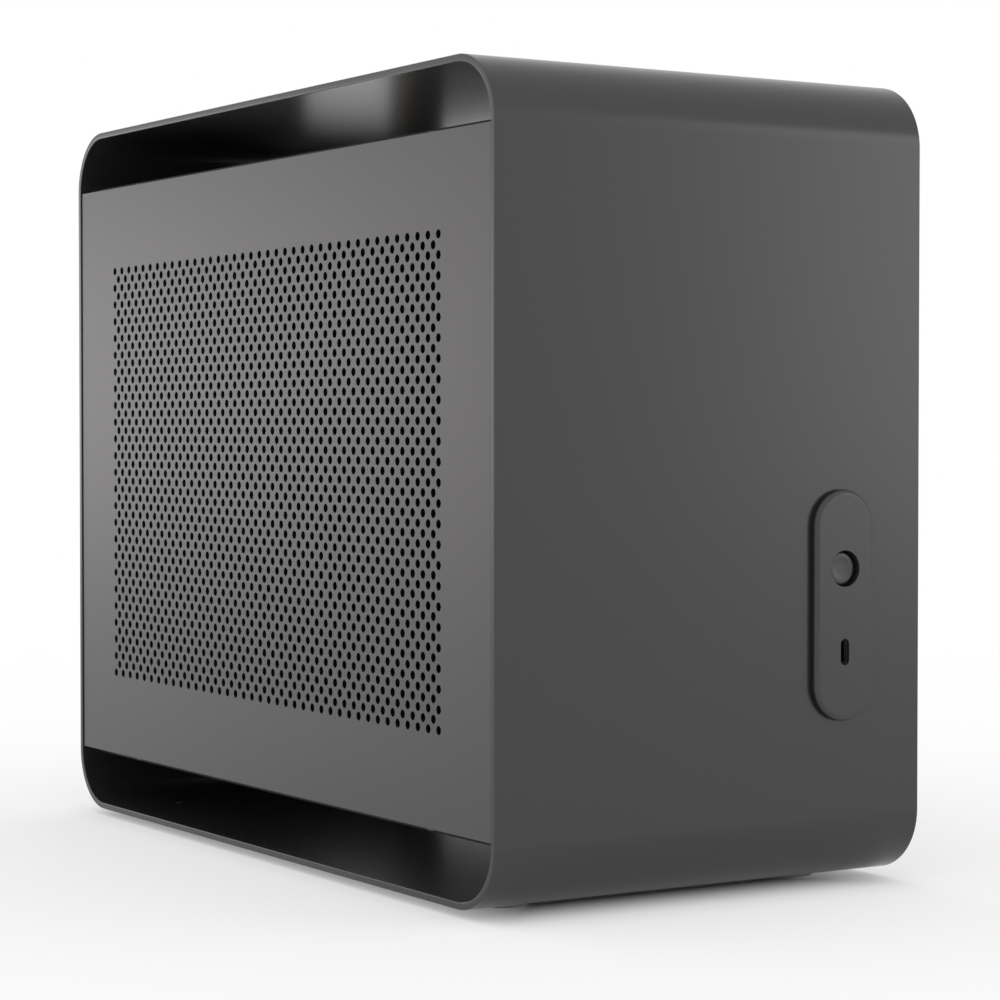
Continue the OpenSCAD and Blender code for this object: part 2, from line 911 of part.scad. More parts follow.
module lead_header() {
  color(black)
    along_y(control_board_y + control_board_t, header_l)
      translate([pod_x, usb_z + header_dz])
        difference() {
          square([header_w, header_h], center = true);
          translate([0, header_key]) square([header_in_w, header_in_h], center = true);
        }
}

// Mains inlet

module inlet_cavity() {
  difference() {
    square([inlet_cavity_w, inlet_cavity_h], center = true);
    for (s = [-1, 1])
      translate([s * inlet_cavity_w / 2, inlet_cavity_h / 2]) rotate(45) square(inlet_corner, center = true);
  }
}

module mains_inlet() {
  color(black)
    difference() {
      union() {
        along_y(rear_y, inlet_rise)
          translate([inlet_x, inlet_cz]) round_rect(inlet_flange_w, inlet_flange_h, inlet_flange_r);
        along_y(rear_y - inlet_body_l, inlet_body_l)
          translate([inlet_x, inlet_cz]) square([inlet_body_w, inlet_body_h], center = true);
      }
      along_y(rear_y + inlet_rise - inlet_cavity_l, inlet_cavity_l + over)
        translate([inlet_x, inlet_cz]) inlet_cavity();
      along_y(rear_y - inlet_body_l - over, inlet_body_l + over)
        for (p = blade_places)
          translate([inlet_x + p[0], inlet_cz + p[1]]) square([blade_w, blade_h], center = true);
      along_y(rear_y - over, inlet_rise + 2 * over)
        for (s = [-1, 1])
          translate([inlet_x + s * inlet_screw_x, inlet_cz]) circle(d = screw_d + screw_clear);
      along_y(rear_y + inlet_rise - head_h, head_h + over)
        for (s = [-1, 1])
          translate([inlet_x + s * inlet_screw_x, inlet_cz]) circle(d = head_d + screw_clear);
    }
}

module inlet_blades() {
  color(steel)
    along_y(rear_y - inlet_body_l - blade_back, inlet_body_l + blade_back + inlet_rise - blade_tip)
      for (p = blade_places)
        translate([inlet_x + p[0], inlet_cz + p[1]]) square([blade_w, blade_h], center = true);
}

module inlet_screws() {
  color(steel)
    for (s = [-1, 1])
      translate([inlet_x + s * inlet_screw_x, rear_y + inlet_rise - head_h, inlet_cz])
        rotate([-90, 0, 0]) socket_screw(inlet_rise - head_h + wall);
}

wrap();
mirror([1, 0, 0]) side_panel();  // left_panel
side_panel();  // right_panel
mirror([1, 0, 0]) panel_studs();  // left_panel_studs
panel_studs();  // right_panel_studs
mirror([1, 0, 0]) catches();  // left_catches
catches();  // right_catches
control_base();
control_cover();
control_bracket();
control_board();
power_button();
switch_body();
switch_plunger();
usb_socket();
usb_tongue();
lead_header();
control_screws();
color(black) mirror([1, 0, 0]) rail();  // top_left_rail
color(black) mirror([1, 0, 0]) flip_down() rail();  // bottom_left_rail
color(black) rail();  // top_right_rail
color(black) flip_down() rail();  // bottom_right_rail
weld_studs();
nuts();
color(black) mirror([1, 0, 0]) upright();  // left_upright
color(black) upright();  // right_upright
carrier_screws();
supply_bracket();
drive_plate();
board_tray();
board_standoffs();
slot_bracket();
slot_cover(slot_z[0]);  // upper_slot_cover
slot_cover(slot_z[1]);  // lower_slot_cover
slot_screws();
mains_inlet();
inlet_blades();
inlet_screws();
foot(-1, -1);  // front_left_foot
foot(1, -1);  // front_right_foot
foot(-1, 1);  // rear_left_foot
foot(1, 1);  // rear_right_foot
foot_screws();
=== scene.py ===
"""Computer case for a mini-itx board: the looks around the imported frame, laid out as an add-on."""

import json
import math

import bmesh
import bpy
from bpy.props import FloatProperty, FloatVectorProperty, IntProperty, PointerProperty
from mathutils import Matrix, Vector


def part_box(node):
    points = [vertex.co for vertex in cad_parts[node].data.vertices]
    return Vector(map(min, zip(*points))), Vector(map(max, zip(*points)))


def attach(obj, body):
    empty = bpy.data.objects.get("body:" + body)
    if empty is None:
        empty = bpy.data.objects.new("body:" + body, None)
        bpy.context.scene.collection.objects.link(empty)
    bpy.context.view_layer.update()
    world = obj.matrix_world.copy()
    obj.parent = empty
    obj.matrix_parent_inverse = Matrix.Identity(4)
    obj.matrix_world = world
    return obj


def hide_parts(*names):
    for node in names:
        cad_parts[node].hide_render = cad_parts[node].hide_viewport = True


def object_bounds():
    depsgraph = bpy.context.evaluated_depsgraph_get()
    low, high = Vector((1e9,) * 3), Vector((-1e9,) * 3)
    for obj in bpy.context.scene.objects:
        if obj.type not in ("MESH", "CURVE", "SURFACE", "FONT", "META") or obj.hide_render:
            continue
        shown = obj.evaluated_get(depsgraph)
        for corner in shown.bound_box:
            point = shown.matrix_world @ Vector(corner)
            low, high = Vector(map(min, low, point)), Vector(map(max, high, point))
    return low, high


bl_info = {
    "name": "Mini-ITX computer case",
    "version": (1, 0, 0),
    "blender": (4, 5, 0),
    "location": "View3D > Sidebar > Case",
    "description": "Models and finishes the wrap, side panels, controls and carriers of a small computer case",
    "category": "Add Mesh",
}

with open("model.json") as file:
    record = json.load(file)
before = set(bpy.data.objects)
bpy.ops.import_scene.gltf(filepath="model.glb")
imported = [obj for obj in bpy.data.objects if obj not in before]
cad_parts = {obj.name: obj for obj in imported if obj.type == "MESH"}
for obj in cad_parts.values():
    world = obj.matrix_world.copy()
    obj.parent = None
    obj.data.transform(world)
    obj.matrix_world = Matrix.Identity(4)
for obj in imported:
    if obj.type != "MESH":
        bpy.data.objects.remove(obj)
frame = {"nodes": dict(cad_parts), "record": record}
CAD_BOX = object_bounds()

MM = 0.001
# How far a coordinate may be off when edges or verts are picked by their place
EDGE = 0.01 * MM
# Verts of neighbouring cells that are closer than this become one
MERGE = 0.05 * MM


def linear(hex_colour):
    """Turns an sRGB hex value into linear red, green and blue."""
    parts = [int(hex_colour[i : i + 2], 16) / 255 for i in (0, 2, 4)]
    return tuple(c / 12.92 if c <= 0.04045 else ((c + 0.055) / 1.055) ** 2.4 for c in parts)


# ---- Sizes and colours a user would change


class CaseSizes(bpy.types.PropertyGroup):
    corner_radius: FloatProperty(
        name="Corner radius", description="Outer radius of the wrap's four long corners",
        default=24 * MM, min=10 * MM, max=40 * MM, unit="LENGTH",
    )
    wall: FloatProperty(
        name="Wall", description="Thickness of the wrap's wall",
        default=2.5 * MM, min=1.5 * MM, max=4 * MM, unit="LENGTH",
    )
    rim_bevel: FloatProperty(
        name="Rim bevel", description="Width of the fine cut along the wrap's rims",
        default=0.35 * MM, min=0.1 * MM, max=0.8 * MM, unit="LENGTH",
    )
    hole: FloatProperty(
        name="Air hole", description="Diameter of a hole in the side panels",
        default=3.15 * MM, min=1 * MM, max=3.3 * MM, unit="LENGTH",
    )
    pitch: FloatProperty(
        name="Hole pitch", description="Distance between neighbouring holes of one row",
        default=7 * MM, min=5 * MM, max=10 * MM, unit="LENGTH",
    )
    row_pitch: FloatProperty(
        name="Row pitch", description="Distance between rows, each shifted by half a hole pitch",
        default=3.5 * MM, min=3.4 * MM, max=6 * MM, unit="LENGTH",
    )
    columns: IntProperty(
        name="Holes in a row", description="Holes in the longer rows; the rows between have one less",
        default=39, min=3, max=44,
    )
    rows: IntProperty(
        name="Rows", description="Number of rows of holes, an odd number",
        default=49, min=3, max=61,
    )
    panel_thickness: FloatProperty(
        name="Panel thickness", description="Thickness of a side panel's sheet",
        default=2 * MM, min=0.8 * MM, max=3 * MM, unit="LENGTH",
    )
    edge_break: FloatProperty(
        name="Broken edge", description="Width of the broken edges of sheet and moulded pieces",
        default=0.2 * MM, min=0.05 * MM, max=0.5 * MM, unit="LENGTH",
    )


class CaseColours(bpy.types.PropertyGroup):
    anodised: FloatVectorProperty(
        name="Anodised aluminium", description="Dark grey dye in the oxide layer",
        subtype="COLOR", size=3, min=0, max=1, default=linear("434344"),
    )
    # Painted light: lighter and a trace warmer than the wrap's colour, standing in for the light that falls on the
    # side panels from the left
    sheet: FloatVectorProperty(
        name="Anodised sheet", description="The same dye on the side panels, a trace lighter",
        subtype="COLOR", size=3, min=0, max=1, default=linear("545253"),
    )
    coat: FloatVectorProperty(
        name="Powder coat", description="Black coat of rails, tray and brackets",
        subtype="COLOR", size=3, min=0, max=1, default=linear("101011"),
    )
    plastic: FloatVectorProperty(
        name="Moulded plastic", description="Black of the plinth, catches and mains inlet",
        subtype="COLOR", size=3, min=0, max=1, default=linear("131314"),
    )
    floor: FloatVectorProperty(
        name="Floor", description="White of the floor and backdrop",
        subtype="COLOR", size=3, min=0, max=1, default=linear("f9f9fa"),
    )


def sizes():
    return bpy.context.scene.case_sizes


def colours():
    return bpy.context.scene.case_colours


# ---- Materials


def add(tree, kind, inputs=None, **settings):
    """Adds one node: its settings, and inputs given as plain values or as sockets to link from."""
    node = tree.nodes.new(kind)
    for name, value in settings.items():
        setattr(node, name, value)
    for key, value in (inputs or {}).items():
        if isinstance(value, bpy.types.NodeSocket):
            tree.links.new(value, node.inputs[key])
        else:
            node.inputs[key].default_value = value
    return node


def rgba(colour, factor=1.0):
    return tuple(min(1.0, c * factor) for c in colour) + (1.0,)


def surface(name, colour, roughness, metallic=0.0, grain_mm=0.6, grain_height_mm=0.01, grain_strength=0.4,
            patch_mm=60.0, patch_tone=0.06, roughness_spread=0.05, brushed=None, specular=0.5):
    """One finish: a base colour with soft patches, a fine grain in the bump, and roughness that varies."""
    found = bpy.data.materials.get(name)
    if found:
        return found
    material = bpy.data.materials.new(name)
    material.use_nodes = True
    tree = material.node_tree
    shader = tree.nodes["Principled BSDF"]
    shader.inputs["Metallic"].default_value = metallic
    if metallic == 0:
        shader.inputs["Specular IOR Level"].default_value = specular
    place = add(tree, "ShaderNodeTexCoord").outputs["Object"]
    grain_place = place
    if brushed:
        grain_place = add(tree, "ShaderNodeMapping", {"Vector": place, "Scale": brushed}).outputs["Vector"]
    patches = add(tree, "ShaderNodeTexNoise", {"Vector": place, "Scale": 1000 / patch_mm, "Detail": 3.0,
                                                "Roughness": 0.55})
    tone = add(tree, "ShaderNodeMix", {"Factor": patches.outputs["Fac"], "A": rgba(colour, 1 - patch_tone),
                                        "B": rgba(colour, 1 + patch_tone)}, data_type="RGBA")
    tree.links.new(tone.outputs[2], shader.inputs["Base Color"])
    grain = add(tree, "ShaderNodeTexNoise", {"Vector": grain_place, "Scale": 1000 / grain_mm, "Detail": 2.0,
                                              "Roughness": 0.6})
    rough = add(tree, "ShaderNodeMapRange", {"Value": grain.outputs["Fac"], "To Min": roughness - roughness_spread,
                                              "To Max": roughness + roughness_spread})
    tree.links.new(rough.outputs["Result"], shader.inputs["Roughness"])
    bump = add(tree, "ShaderNodeBump", {"Height": grain.outputs["Fac"], "Strength": grain_strength,
                                         "Distance": grain_height_mm * MM})
    tree.links.new(bump.outputs["Normal"], shader.inputs["Normal"])
    return material


def anodised_aluminium():
    # Bead-blasted, then anodised dark grey: the dyed oxide scatters, the metal under it gives broad soft reflections
    return surface("bead_blasted_anodised_aluminium", colours().anodised, 0.25, metallic=0.7, grain_mm=0.5,
                   grain_height_mm=0.008, grain_strength=0.25, patch_mm=90, patch_tone=0.02, roughness_spread=0.03)


def sheet_finish_painted_lighter():
    # The same dye on rolled sheet, blasted coarser than the wrap: the reflections are a little broader. Its colour
    # is painted lighter and a trace warmer than the wrap's, as painted light for the light that falls on the side
    # panels from the left
    return surface("blasted_anodised_sheet", colours().sheet, 0.37, metallic=1.0, grain_mm=0.45,
                   grain_height_mm=0.008, grain_strength=0.3, patch_mm=70, patch_tone=0.02, roughness_spread=0.03)


def powder_coat():
    # Fine textured black powder coat on steel sheet: matte, with the light orange peel of baked powder
    return surface("fine_black_powder_coat", colours().coat, 0.62, grain_mm=0.8, grain_height_mm=0.03,
                   grain_strength=0.5, patch_mm=40, patch_tone=0.1, specular=0.15)


def moulded_plastic():
    # Moulded ABS from a spark-eroded tool: matte black with a fine even texture
    return surface("moulded_black_abs", colours().plastic, 0.55, grain_mm=0.4, grain_height_mm=0.02,
                   grain_strength=0.4, patch_mm=30, patch_tone=0.1)


def foot_rubber():
    # Moulded silicone rubber: pale grey and dull, so that the feet don't show against a white floor
    return surface("moulded_grey_silicone", linear("a8a9ab"), 0.7, grain_mm=0.7, grain_height_mm=0.03,
                   grain_strength=0.4, patch_mm=12, patch_tone=0.1, specular=0.3)


def zinc_steel():
    # Blue-passivated zinc on turned steel: pale, with fine turning marks
    return surface("zinc_plated_steel", linear("b4b7ba"), 0.34, metallic=1.0, grain_mm=0.3, grain_height_mm=0.01,
                   grain_strength=0.4, patch_mm=8, patch_tone=0.08, roughness_spread=0.08)


def turned_brass():
    # Hexagonal bar turned to length: warm yellow, bright on the flats
    return surface("turned_brass", linear("c2a05a"), 0.3, metallic=1.0, grain_mm=0.25, grain_height_mm=0.01,
                   grain_strength=0.4, patch_mm=6, patch_tone=0.08, brushed=(6.0, 1.0, 1.0))


def nickel_shell():
    # Drawn stainless shell of the socket, nickel plated
    return surface("nickel_plated_shell", linear("8f9092"), 0.3, metallic=1.0, grain_mm=0.3, grain_height_mm=0.005,
                   grain_strength=0.3, patch_mm=5, patch_tone=0.06)


def solder_mask():
    # Green solder mask over glass-filled epoxy: glossy, with the shade of copper areas under it
    return surface("green_solder_mask", linear("1f5a3c"), 0.28, grain_mm=1.2, grain_height_mm=0.02,
                   grain_strength=0.3, patch_mm=4, patch_tone=0.25)


FINISH_OF_SLOT = {
    "anodised": anodised_aluminium,
    "black_coat": powder_coat,
    "black_plastic": moulded_plastic,
    "rubber_foot": foot_rubber,
    "steel": zinc_steel,
    "brass_part": turned_brass,
    "circuit_board": solder_mask,
}


def dress(piece, material):
    piece.data.materials.clear()
    piece.data.materials.append(material)


# ---- Modelling helpers


def deselect():
    if bpy.context.object and bpy.context.object.mode != "OBJECT":
        bpy.ops.object.mode_set(mode="OBJECT")
    bpy.ops.object.select_all(action="DESELECT")


def only(piece):
    deselect()
    piece.hide_viewport = False
    piece.select_set(True)
    bpy.context.view_layer.objects.active = piece


def edit(piece):
    only(piece)
    bpy.ops.object.mode_set(mode="EDIT")
    bpy.ops.mesh.select_mode(type="VERT")


def done(piece):
    bpy.ops.object.mode_set(mode="OBJECT")
    only(piece)
    bpy.ops.object.transform_apply(location=True, rotation=True, scale=True)


def pick(piece, kind, test):
    """Selects the faces, edges or verts of the piece in edit mode whose centre passes the test."""
    mesh = bmesh.from_edit_mesh(piece.data)
    bpy.ops.mesh.select_mode(type={"faces": "FACE", "edges": "EDGE", "verts": "VERT"}[kind])
    bpy.ops.mesh.select_all(action="DESELECT")
    for part in getattr(mesh, kind):
        if kind == "faces":
            chosen = test(part.calc_center_median(), part.normal)
        elif kind == "edges":
            a, b = part.verts
            chosen = test((a.co + b.co) / 2, (b.co - a.co).normalized())
        else:
            chosen = test(part.co, part.normal)
        if chosen:
            part.select_set(True)
    mesh.select_flush_mode()
    bmesh.update_edit_mesh(piece.data)


def modify(piece, kind, **settings):
    """Adds one modifier with its settings and applies it."""
    only(piece)
    modifier = piece.modifiers.new(kind.lower(), kind)
    for name, value in settings.items():
        setattr(modifier, name, value)
    bpy.ops.object.modifier_apply(modifier=modifier.name)


def smooth(piece, degrees=30):
    """Shades curves smooth and keeps broad faces flat up to their broken edges."""
    only(piece)
    bpy.ops.object.shade_smooth_by_angle(angle=math.radians(degrees))
    modify(piece, "WEIGHTED_NORMAL", keep_sharp=True, weight=100)


def settle(piece, name, body, slot, material, *nodes):
    """Names a finished piece, gives it its finish, and puts it in place of the frame's nodes."""
    piece.name = name
    piece.data.name = name
    dress(piece, material)
    if nodes:
        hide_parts(*nodes)
    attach(piece, body)
    return piece


def block(low, high):
    """A box from its lowest to its highest corner."""
    deselect()
    low, high = Vector(low), Vector(high)
    bpy.ops.mesh.primitive_cube_add(size=1, location=(low + high) / 2, scale=high - low)
    piece = bpy.context.object
    done(piece)
    return piece


def rounded_plate(centre, width, height, radius, thickness, segments=16):
    """A plate in X and Z with round corners, its front face at the centre's Y and its thickness behind it."""
    deselect()
    bpy.ops.mesh.primitive_plane_add(size=1, location=centre, rotation=(math.radians(90), 0, 0))
    piece = bpy.context.object
    piece.scale = (width, height, 1)
    done(piece)
    edit(piece)
    bpy.ops.mesh.select_all(action="SELECT")
    bpy.ops.mesh.bevel(offset=radius * 0.9999, segments=segments, affect="VERTICES")
    bpy.ops.mesh.select_all(action="SELECT")
    bpy.ops.mesh.remove_doubles(threshold=0.02 * MM)
    bpy.ops.mesh.select_all(action="SELECT")
    bpy.ops.mesh.extrude_region_move(TRANSFORM_OT_translate={"value": (0, thickness, 0)})
    bpy.ops.mesh.select_all(action="SELECT")
    bpy.ops.mesh.normals_make_consistent(inside=False)
    done(piece)
    return piece


def round_bar(centre, diameter, length, axis, segments):
    """A cylinder used as a cutter, along one axis from the centre."""
    deselect()
    turn = {"x": (0, math.radians(90), 0), "y": (math.radians(90), 0, 0), "z": (0, 0, 0)}[axis]
    bpy.ops.mesh.primitive_cylinder_add(radius=diameter / 2, depth=length, location=centre, rotation=turn,
                                        vertices=segments)
    piece = bpy.context.object
    done(piece)
    return piece


def cut(piece, *cutters):
    for cutter in cutters:
        modify(piece, "BOOLEAN", operation="DIFFERENCE", object=cutter, solver="EXACT")
        bpy.data.objects.remove(cutter)


def joined(*parts):
    deselect()
    for part in parts:
        part.select_set(True)
    bpy.context.view_layer.objects.active = parts[0]
    if len(parts) > 1:
        bpy.ops.object.join()
    return bpy.context.object


def copy_of(piece):
    twin = piece.copy()
    twin.data = piece.data.copy()
    bpy.context.scene.collection.objects.link(twin)
    return twin


# ---- The wrap

POD_CENTRE = (53.8 * MM, 101.8 * MM)
POD_SIZE = (26 * MM, 82 * MM)
# The plinth's neck goes through the wrap, this much smaller all round than its rim
NECK_INSET = 2 * MM
NECK_GAP = 0.1 * MM
IO_OPENING = ((19.25 * MM, 95.5 * MM), (63.7 * MM, 254.25 * MM))
SLOTS_X = (-41.1 * MM, 62.9 * MM)
SLOT_HEIGHTS = (85.2 * MM, 64.88 * MM)
SLOT_WIDTH = 10.5 * MM
INLET = (-50 * MM, 130 * MM)
INLET_CUT = (27.6 * MM, 20 * MM)
VENT_HOLE = 3 * MM
VENT_START = (-66 * MM, 193 * MM)
VENT_STEP = (10 * MM, 5 * MM)
VENT_COUNT = (8, 13)
FOOT_BORE = 3 * MM


def model_wrap():
    """A tube bent from four walls: bevelled long corners, one wall thickness, fine bevels along the rims."""
    size = sizes()
    low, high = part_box("wrap")
    wrap = block(low, high)
    edit(wrap)
    pick(wrap, "faces", lambda c, n: abs(n.x) > 0.9)
    bpy.ops.mesh.delete(type="FACE")
    pick(wrap, "edges", lambda c, d: abs(d.x) > 0.9)
    bpy.ops.mesh.bevel(offset=size.corner_radius, segments=32, affect="EDGES", profile=0.5)
    done(wrap)
    modify(wrap, "SOLIDIFY", thickness=size.wall, offset=-1, use_even_offset=True)
    modify(wrap, "BEVEL", width=size.rim_bevel, segments=2, limit_method="ANGLE", angle_limit=math.radians(60))
    cut(wrap, *front_cutters(low, high), *rear_cutters(high), *foot_cutters(low))
    smooth(wrap, 25)
    return wrap


def front_cutters(low, high):
    x, z = POD_CENTRE
    width, height = (side - 2 * NECK_INSET + 2 * NECK_GAP for side in POD_SIZE)
    return [rounded_plate((x, low.y - MM, z), width, height, width / 2, sizes().wall + 2 * MM)]


def rear_cutters(high):
    inside = high.y - sizes().wall - MM
    outside = high.y + MM
    cutters = [block((IO_OPENING[0][0], inside, IO_OPENING[0][1]), (IO_OPENING[1][0], outside, IO_OPENING[1][1]))]
    for z in SLOT_HEIGHTS:
        cutters.append(block((SLOTS_X[0], inside, z - SLOT_WIDTH / 2), (SLOTS_X[1], outside, z + SLOT_WIDTH / 2)))
    width, height = INLET_CUT
    cutters.append(block((INLET[0] - width / 2, inside, INLET[1] - height / 2),
                         (INLET[0] + width / 2, outside, INLET[1] + height / 2)))
    holes = []
    for row in range(VENT_COUNT[1]):
        for column in range(VENT_COUNT[0] - row % 2):
            x = VENT_START[0] + (column + (row % 2) / 2) * VENT_STEP[0]
            z = VENT_START[1] + row * VENT_STEP[1]
            holes.append(round_bar((x, (inside + outside) / 2, z), VENT_HOLE, outside - inside, "y", 24))
    cutters.append(joined(*holes))
    return cutters


def foot_cutters(low):
    screws = []
    for node in ("front_left_foot", "front_right_foot", "rear_left_foot", "rear_right_foot"):
        a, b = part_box(node)
        middle = (a + b) / 2
        screws.append(round_bar((middle.x, middle.y, low.z + sizes().wall / 2), FOOT_BORE, 6 * MM, "z", 32))
    return [joined(*screws)]


# ---- Side panels

# Cut off the lower edge, so that the black rail shows under it as in the photograph
BOTTOM_TRIM = 0.5 * MM


def hole_cell(x, centre_y, z):
    """One cell of the perforation: a rectangle of sheet round a hole, bridged from 16 edges to 16 edges."""
    size = sizes()
    deselect()
    face_on = (math.radians(90), 0, math.radians(-90))
    bpy.ops.mesh.primitive_grid_add(x_subdivisions=4, y_subdivisions=4, size=1, location=(x, centre_y, z),
                                    rotation=face_on)
    cell = bpy.context.object
    cell.scale = (size.pitch, size.row_pitch, 1)
    done(cell)
    edit(cell)
    inside_y, inside_z = size.pitch / 2 - EDGE, size.row_pitch / 2 - EDGE
    pick(cell, "verts", lambda c, n: abs(c.y - centre_y) < inside_y and abs(c.z - z) < inside_z)
    bpy.ops.mesh.delete(type="VERT")
    bpy.ops.object.mode_set(mode="OBJECT")
    deselect()
    bpy.ops.mesh.primitive_circle_add(vertices=16, radius=size.hole / 2, fill_type="NOTHING",
                                      location=(x, centre_y, z), rotation=face_on)
    hole = bpy.context.object
    done(hole)
    cell = joined(cell, hole)
    edit(cell)
    bpy.ops.mesh.select_mode(type="EDGE")
    bpy.ops.mesh.select_all(action="SELECT")
    bpy.ops.mesh.bridge_edge_loops()
    done(cell)
    return cell


def array(piece, count, step):
    modify(piece, "ARRAY", count=count, use_relative_offset=False, use_constant_offset=True,
           constant_offset_displace=step, use_merge_vertices=True, merge_threshold=MERGE)


def blank(low_y, high_y, x, z):
    """Half a cell without a hole, at the end of every second row."""
    deselect()
    bpy.ops.mesh.primitive_grid_add(x_subdivisions=2, y_subdivisions=4, size=1,
                                    location=(x, (low_y + high_y) / 2, z),
                                    rotation=(math.radians(90), 0, math.radians(-90)))
    piece = bpy.context.object
    piece.scale = (high_y - low_y, sizes().row_pitch, 1)
    done(piece)
    return piece


def model_left_panel():
    """The perforated field from rows of cells, its border drawn out to the sheet's outline, then thickened."""
    size = sizes()
    low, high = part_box("left_panel")
    middle = (low + high) / 2
    x = low.x
    field_y = size.columns * size.pitch
    field_z = size.rows * size.row_pitch
    first_y = middle.y - field_y / 2
    first_z = middle.z - field_z / 2 + size.row_pitch / 2
    long_row = hole_cell(x, first_y + size.pitch / 2, first_z)
    array(long_row, size.columns, (0, size.pitch, 0))
    next_z = first_z + size.row_pitch
    short_row = hole_cell(x, first_y + size.pitch, next_z)
    array(short_row, size.columns - 1, (0, size.pitch, 0))
    ends = [blank(first_y, first_y + size.pitch / 2, x, next_z),
            blank(first_y + field_y - size.pitch / 2, first_y + field_y, x, next_z)]
    pair = joined(long_row, short_row, *ends)
    array(pair, (size.rows + 1) // 2, (0, 0, 2 * size.row_pitch))
    edit(pair)
    top = middle.z + field_z / 2
    pick(pair, "faces", lambda c, n: c.z > top)
    bpy.ops.mesh.delete(type="FACE")
    bpy.ops.mesh.select_mode(type="VERT")
    bpy.ops.mesh.select_all(action="SELECT")
    bpy.ops.mesh.remove_doubles(threshold=MERGE)
    draw_border(pair, middle, low, high, field_y, field_z)
    done(pair)
    modify(pair, "SOLIDIFY", thickness=size.panel_thickness, offset=-1)
    return pair


def draw_border(panel, middle, low, high, field_y, field_z):
    """Extrudes the edge of the field and scales it out to the sheet's outline, trimmed to show the rail below."""
    pick(panel, "edges", lambda c, d: abs(c.y - middle.y) > field_y / 2 - EDGE
         or abs(c.z - middle.z) > field_z / 2 - EDGE)
    bpy.ops.mesh.extrude_edges_move()
    factor = (1, (high.y - low.y) / field_y, (high.z - low.z) / field_z)
    bpy.ops.transform.resize(value=factor, center_override=middle)
    pick(panel, "verts", lambda c, n: c.z < low.z + EDGE)
    bpy.ops.transform.translate(value=(0, 0, BOTTOM_TRIM))
    bpy.ops.mesh.select_all(action="SELECT")
    bpy.ops.mesh.normals_make_consistent(inside=False)
    mesh = bmesh.from_edit_mesh(panel.data)
    mesh.faces.ensure_lookup_table()
    if mesh.faces[0].normal.x > 0:
        bpy.ops.mesh.flip_normals()


# ---- Front controls

# The cover's edge is turned back over the plinth by this much, and rounded
COVER_TURN = 0.9 * MM
COVER_ROUNDING = 1.75 * MM
# How far the button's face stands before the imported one
BUTTON_LIFT = 1.0 * MM
BUTTON_CAP = 12.1 * MM
BUTTON_FLANGE = 1.35 * MM
# Rings of the button's face from its edge in: width of the ring and step towards the back, in mm
BUTTON_FACE = ((0.4, -0.4), (0.6, -0.2), (1.5, 0.12), (2.0, 0.06))
BUTTON_Z = 114.8 * MM
BUTTON_BORE = 12.8 * MM
USB_Z = 85.3 * MM
USB_SLOT = (3.66 * MM, 9.34 * MM)


def control_holes(near_y, far_y):
    x = POD_CENTRE[0]
    depth = far_y - near_y + 2 * MM
    middle = (near_y + far_y) / 2
    bore = round_bar((x, middle, BUTTON_Z), BUTTON_BORE, depth, "y", 96)
    mouth = rounded_plate((x, near_y - MM, USB_Z), *USB_SLOT, USB_SLOT[0] / 2, depth, 12)
    return bore, mouth


def model_control_cover():
    """The metal face: a plate with a rounded front edge, a bore for the button and a mouth for the socket."""
    low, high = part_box("control_cover")
    width, height = high.x - low.x, high.z - low.z
    cover = rounded_plate(((low.x + high.x) / 2, low.y, (low.z + high.z) / 2), width, height, width / 2,
                          high.y + COVER_TURN - low.y, 40)
    edit(cover)
    pick(cover, "edges", lambda c, d: c.y < low.y + EDGE)
    bpy.ops.mesh.bevel(offset=COVER_ROUNDING, segments=5, affect="EDGES")
    done(cover)
    cut(cover, *control_holes(low.y, high.y))
    modify(cover, "BEVEL", width=sizes().edge_break, segments=2, limit_method="ANGLE", angle_limit=math.radians(50))
    smooth(cover, 25)
    return cover


def model_control_base():
    """The plinth under the metal face: a rim on the wrap, and a neck that goes through it."""
    low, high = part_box("control_base")
    width, height = high.x - low.x, high.z - low.z
    x, z = (low.x + high.x) / 2, (low.z + high.z) / 2
    front = low.y + COVER_TURN
    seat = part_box("wrap")[0].y
    rim = rounded_plate((x, front, z), width, height, width / 2, seat - front, 40)
    neck = rounded_plate((x, seat, z), width - 2 * NECK_INSET, height - 2 * NECK_INSET, width / 2 - NECK_INSET,
                         high.y - seat, 40)
    modify(rim, "BOOLEAN", operation="UNION", object=neck, solver="EXACT")
    bpy.data.objects.remove(neck)
    cut(rim, *control_holes(low.y, high.y))
    smooth(rim, 25)
    return rim


def model_power_button():
    """A turned cap: a slightly dished face, a bevelled edge and the flange that keeps it in."""
    low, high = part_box("power_button")
    flange_radius = (high.x - low.x) / 2
    edge_height = sum(step for width, step in BUTTON_FACE if step < 0) * MM
    shank = (low.y - BUTTON_LIFT - edge_height) - (high.y - BUTTON_FLANGE)
    deselect()
    bpy.ops.mesh.primitive_circle_add(vertices=96, radius=flange_radius, fill_type="NGON",
                                      location=(POD_CENTRE[0], high.y, BUTTON_Z),
                                      rotation=(math.radians(90), 0, 0))
    button = bpy.context.object
    done(button)
    edit(button)
    bpy.ops.mesh.select_all(action="SELECT")
    bpy.ops.mesh.extrude_region_move(TRANSFORM_OT_translate={"value": (0, -BUTTON_FLANGE, 0)})
    bpy.ops.mesh.inset(thickness=flange_radius - BUTTON_CAP / 2)
    bpy.ops.mesh.extrude_region_move(TRANSFORM_OT_translate={"value": (0, shank, 0)})
    for width, step in BUTTON_FACE:
        bpy.ops.mesh.inset(thickness=width * MM)
        bpy.ops.transform.translate(value=(0, step * MM, 0))
    bpy.ops.mesh.select_all(action="SELECT")
    bpy.ops.mesh.normals_make_consistent(inside=False)
    done(button)
    smooth(button, 30)
    return button


# ---- Pieces of the frame that are kept, with softened edges

